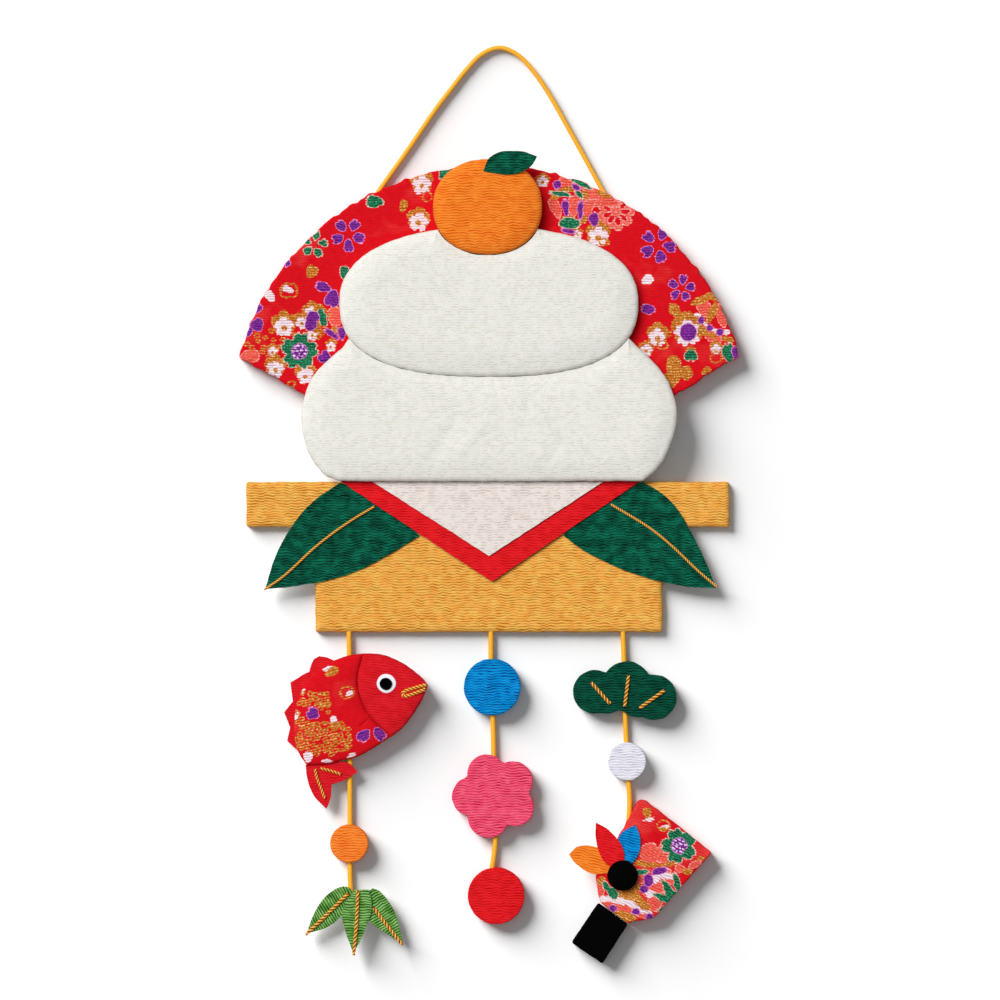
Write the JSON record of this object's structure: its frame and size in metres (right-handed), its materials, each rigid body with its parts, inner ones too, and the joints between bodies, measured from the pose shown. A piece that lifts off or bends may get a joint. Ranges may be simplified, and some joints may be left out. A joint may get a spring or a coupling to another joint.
{
  "type": "fabric kagami mochi wall hanging",
  "caption": "Flat new-year hanging of padded crepe cloth: stacked rice cakes and a mandarin on a patterned fan, over a stand with charms on cords, with a loop to hang it by",
  "frame": {"origin": "on the plane that the hanging lies on, under the middle of its box measured without its cords", "axes": "+Z points out of the shown side, +Y up the hanging towards its loop, and +X to the right as the shown side is seen"},
  "size_m": [0.167, 0.3052, 0.0135],
  "materials": {
    "white_crepe": "matte crinkled crepe over soft padding",
    "floral_crepe": "matte crinkled crepe, red ground with a printed flower pattern",
    "orange_crepe": "matte crinkled crepe",
    "green_crepe": "matte crinkled crepe",
    "bamboo_crepe": "matte crinkled crepe",
    "gold_crepe": "matte crinkled crepe",
    "red_crepe": "matte crinkled crepe",
    "blue_crepe": "matte crinkled crepe",
    "pink_crepe": "matte crinkled crepe",
    "pale_crepe": "matte crinkled crepe",
    "white_felt": "matte felt",
    "black_velvet": "dull short pile",
    "yellow_cord": "smooth braided cord with a slight sheen",
    "gold_cord": "two-ply twisted cord with a slight sheen"
  },
  "bodies": {
    "root": {"upper_mochi": "white_crepe", "lower_mochi": "white_crepe", "fan": "floral_crepe", "bream_body": "floral_crepe", "battledore": "floral_crepe", "mikan": "orange_crepe", "small_disc": "orange_crepe", "feather_orange": "orange_crepe", "mikan_leaf": "green_crepe", "leaf_left": "green_crepe", "leaf_right": "green_crepe", "pine": "green_crepe", "bamboo_left": "bamboo_crepe", "bamboo_right": "bamboo_crepe", "bamboo_middle": "bamboo_crepe", "tray": "gold_crepe", "stand": "gold_crepe", "paper_red": "red_crepe", "bream_head": "red_crepe", "bream_fin": "red_crepe", "bream_tail": "red_crepe", "red_disc": "red_crepe", "feather_red": "red_crepe", "blue_disc": "blue_crepe", "feather_blue": "blue_crepe", "plum_flower": "pink_crepe", "paper_white": "pale_crepe", "white_disc": "pale_crepe", "bream_eye": "white_felt", "bream_pupil": "black_velvet", "battledore_handle": "black_velvet", "shuttle_ball": "black_velvet", "hanging_loop": "yellow_cord", "string_left": "yellow_cord", "string_centre": "yellow_cord", "string_right": "yellow_cord", "leaf_vein_left": "gold_cord", "leaf_vein_right": "gold_cord", "bream_mouth": "gold_cord", "bream_tail_vein_outer": "gold_cord", "bream_tail_vein_inner": "gold_cord", "bamboo_vein_left": "gold_cord", "bamboo_vein_right": "gold_cord", "bamboo_vein_middle": "gold_cord", "pine_needle_left": "gold_cord", "pine_needle_middle": "gold_cord", "pine_needle_right": "gold_cord"}
  },
  "joints": []
}
